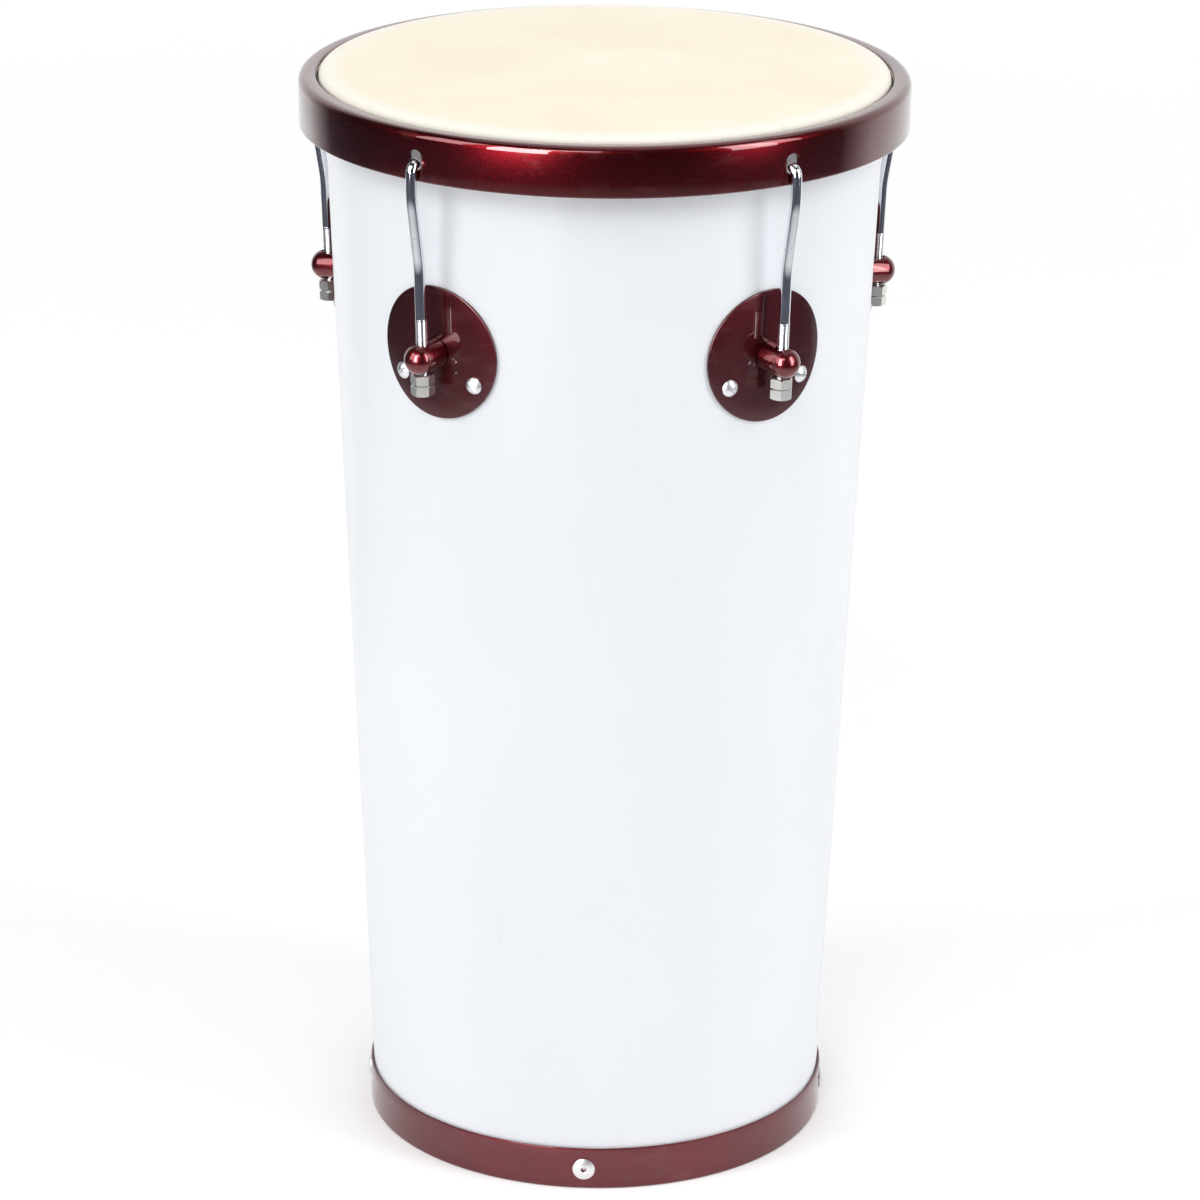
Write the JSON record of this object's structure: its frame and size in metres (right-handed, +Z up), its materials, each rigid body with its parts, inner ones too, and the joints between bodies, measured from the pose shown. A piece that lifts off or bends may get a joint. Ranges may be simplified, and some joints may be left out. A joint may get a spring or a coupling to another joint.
{
  "type": "rebolo drum",
  "caption": "Tapered wooden hand drum in white laminate with a tucked head, a pressed counter hoop drawn down by hooked tension rods on plate lugs, and a riveted base ring.",
  "frame": {"origin": "on the drum's axis, in the plane that the base ring stands on", "axes": "+Z up along the drum's axis towards the playing head; -Y faces the camera side of the picture, midway between two lugs"},
  "size_m": [0.328, 0.3343, 0.6011],
  "materials": {
    "shell_wood": "bare sanded",
    "white_laminate": "semi-gloss",
    "head_skin": "smooth matt",
    "hoop_steel": "plain wire",
    "hoop_paint": "candy metallic gloss",
    "ring_paint": "candy metallic, duller",
    "lug_paint": "candy metallic gloss",
    "rod_chrome": "polished",
    "nut_nickel": "nickel plated",
    "screw_zinc": "zinc plated",
    "rivet_aluminium": "satin"
  },
  "bodies": {
    "drum_body": {"shell": "shell_wood", "shell_laminate": "white_laminate", "head_skin": "head_skin", "bottom_ring": "ring_paint", "ring_rivet_1": "rivet_aluminium", "ring_rivet_2": "rivet_aluminium", "ring_rivet_3": "rivet_aluminium", "ring_rivet_4": "rivet_aluminium", "lug_plate_1": "lug_paint", "lug_post_1": "lug_paint", "lug_screw_1_left": "screw_zinc", "lug_screw_nut_1_left": "screw_zinc", "lug_screw_1_right": "screw_zinc", "lug_screw_nut_1_right": "screw_zinc", "lug_plate_2": "lug_paint", "lug_post_2": "lug_paint", "lug_screw_2_left": "screw_zinc", "lug_screw_nut_2_left": "screw_zinc", "lug_screw_2_right": "screw_zinc", "lug_screw_nut_2_right": "screw_zinc", "lug_plate_3": "lug_paint", "lug_post_3": "lug_paint", "lug_screw_3_left": "screw_zinc", "lug_screw_nut_3_left": "screw_zinc", "lug_screw_3_right": "screw_zinc", "lug_screw_nut_3_right": "screw_zinc", "lug_plate_4": "lug_paint", "lug_post_4": "lug_paint", "lug_screw_4_left": "screw_zinc", "lug_screw_nut_4_left": "screw_zinc", "lug_screw_4_right": "screw_zinc", "lug_screw_nut_4_right": "screw_zinc", "lug_plate_5": "lug_paint", "lug_post_5": "lug_paint", "lug_screw_5_left": "screw_zinc", "lug_screw_nut_5_left": "screw_zinc", "lug_screw_5_right": "screw_zinc", "lug_screw_nut_5_right": "screw_zinc"},
    "hoop_assembly": {"counter_hoop": "hoop_paint", "flesh_hoop": "hoop_steel"},
    "rod_1": {"hook_rod_1": "rod_chrome"},
    "upper_nut_1": {"tension_nut_1": "nut_nickel"},
    "lower_nut_1": {"lock_nut_1": "nut_nickel"},
    "rod_2": {"hook_rod_2": "rod_chrome"},
    "upper_nut_2": {"tension_nut_2": "nut_nickel"},
    "lower_nut_2": {"lock_nut_2": "nut_nickel"},
    "rod_3": {"hook_rod_3": "rod_chrome"},
    "upper_nut_3": {"tension_nut_3": "nut_nickel"},
    "lower_nut_3": {"lock_nut_3": "nut_nickel"},
    "rod_4": {"hook_rod_4": "rod_chrome"},
    "upper_nut_4": {"tension_nut_4": "nut_nickel"},
    "lower_nut_4": {"lock_nut_4": "nut_nickel"},
    "rod_5": {"hook_rod_5": "rod_chrome"},
    "upper_nut_5": {"tension_nut_5": "nut_nickel"},
    "lower_nut_5": {"lock_nut_5": "nut_nickel"}
  },
  "joints": [
    {"name": "hoop_travel", "type": "slide", "parent": "drum_body", "child": "hoop_assembly", "axis": [0, 0, -1], "range_m": [-0.004, 0.006], "deforming": ["head_skin"]},
    {"name": "rod_1_pull", "type": "slide", "parent": "drum_body", "child": "rod_1", "axis": [0.0246, 0.0338, -0.9991], "range_m": [-0.0041, 0.0061]},
    {"name": "tension_nut_1_turn", "type": "hinge", "parent": "drum_body", "child": "upper_nut_1", "pos_m": [-0.09337, -0.12852, 0.47644], "axis": [-0.0246, -0.0338, 0.9991], "range_deg": [-1140, 1710]},
    {"name": "lock_nut_1_turn", "type": "hinge", "parent": "drum_body", "child": "lower_nut_1", "pos_m": [-0.09337, -0.12852, 0.47644], "axis": [-0.0246, -0.0338, 0.9991], "range_deg": [-1140, 1710]},
    {"name": "rod_2_pull", "type": "slide", "parent": "drum_body", "child": "rod_2", "axis": [-0.0246, 0.0338, -0.9991], "range_m": [-0.0041, 0.0061]},
    {"name": "tension_nut_2_turn", "type": "hinge", "parent": "drum_body", "child": "upper_nut_2", "pos_m": [0.09337, -0.12852, 0.47644], "axis": [0.0246, -0.0338, 0.9991], "range_deg": [-1140, 1710]},
    {"name": "lock_nut_2_turn", "type": "hinge", "parent": "drum_body", "child": "lower_nut_2", "pos_m": [0.09337, -0.12852, 0.47644], "axis": [0.0246, -0.0338, 0.9991], "range_deg": [-1140, 1710]},
    {"name": "rod_3_pull", "type": "slide", "parent": "drum_body", "child": "rod_3", "axis": [-0.0397, -0.0129, -0.9991], "range_m": [-0.0041, 0.0061]},
    {"name": "tension_nut_3_turn", "type": "hinge", "parent": "drum_body", "child": "upper_nut_3", "pos_m": [0.15108, 0.04909, 0.47644], "axis": [0.0397, 0.0129, 0.9991], "range_deg": [-1140, 1710]},
    {"name": "lock_nut_3_turn", "type": "hinge", "parent": "drum_body", "child": "lower_nut_3", "pos_m": [0.15108, 0.04909, 0.47644], "axis": [0.0397, 0.0129, 0.9991], "range_deg": [-1140, 1710]},
    {"name": "rod_4_pull", "type": "slide", "parent": "drum_body", "child": "rod_4", "axis": [0, -0.0418, -0.9991], "range_m": [-0.0041, 0.0061]},
    {"name": "tension_nut_4_turn", "type": "hinge", "parent": "drum_body", "child": "upper_nut_4", "pos_m": [0, 0.15885, 0.47644], "axis": [0, 0.0418, 0.9991], "range_deg": [-1140, 1710]},
    {"name": "lock_nut_4_turn", "type": "hinge", "parent": "drum_body", "child": "lower_nut_4", "pos_m": [0, 0.15885, 0.47644], "axis": [0, 0.0418, 0.9991], "range_deg": [-1140, 1710]},
    {"name": "rod_5_pull", "type": "slide", "parent": "drum_body", "child": "rod_5", "axis": [0.0397, -0.0129, -0.9991], "range_m": [-0.0041, 0.0061]},
    {"name": "tension_nut_5_turn", "type": "hinge", "parent": "drum_body", "child": "upper_nut_5", "pos_m": [-0.15108, 0.04909, 0.47644], "axis": [-0.0397, 0.0129, 0.9991], "range_deg": [-1140, 1710]},
    {"name": "lock_nut_5_turn", "type": "hinge", "parent": "drum_body", "child": "lower_nut_5", "pos_m": [-0.15108, 0.04909, 0.47644], "axis": [-0.0397, 0.0129, 0.9991], "range_deg": [-1140, 1710]}
  ],
  "couplings": [
    {"joint": "rod_1_pull", "follows": "hoop_travel", "ratio": 1.0009},
    {"joint": "tension_nut_1_turn", "follows": "hoop_travel", "rad_per_m": 4947.4},
    {"joint": "lock_nut_1_turn", "follows": "hoop_travel", "rad_per_m": 4947.4},
    {"joint": "rod_2_pull", "follows": "hoop_travel", "ratio": 1.0009},
    {"joint": "tension_nut_2_turn", "follows": "hoop_travel", "rad_per_m": 4947.4},
    {"joint": "lock_nut_2_turn", "follows": "hoop_travel", "rad_per_m": 4947.4},
    {"joint": "rod_3_pull", "follows": "hoop_travel", "ratio": 1.0009},
    {"joint": "tension_nut_3_turn", "follows": "hoop_travel", "rad_per_m": 4947.4},
    {"joint": "lock_nut_3_turn", "follows": "hoop_travel", "rad_per_m": 4947.4},
    {"joint": "rod_4_pull", "follows": "hoop_travel", "ratio": 1.0009},
    {"joint": "tension_nut_4_turn", "follows": "hoop_travel", "rad_per_m": 4947.4},
    {"joint": "lock_nut_4_turn", "follows": "hoop_travel", "rad_per_m": 4947.4},
    {"joint": "rod_5_pull", "follows": "hoop_travel", "ratio": 1.0009},
    {"joint": "tension_nut_5_turn", "follows": "hoop_travel", "rad_per_m": 4947.4},
    {"joint": "lock_nut_5_turn", "follows": "hoop_travel", "rad_per_m": 4947.4}
  ]
}
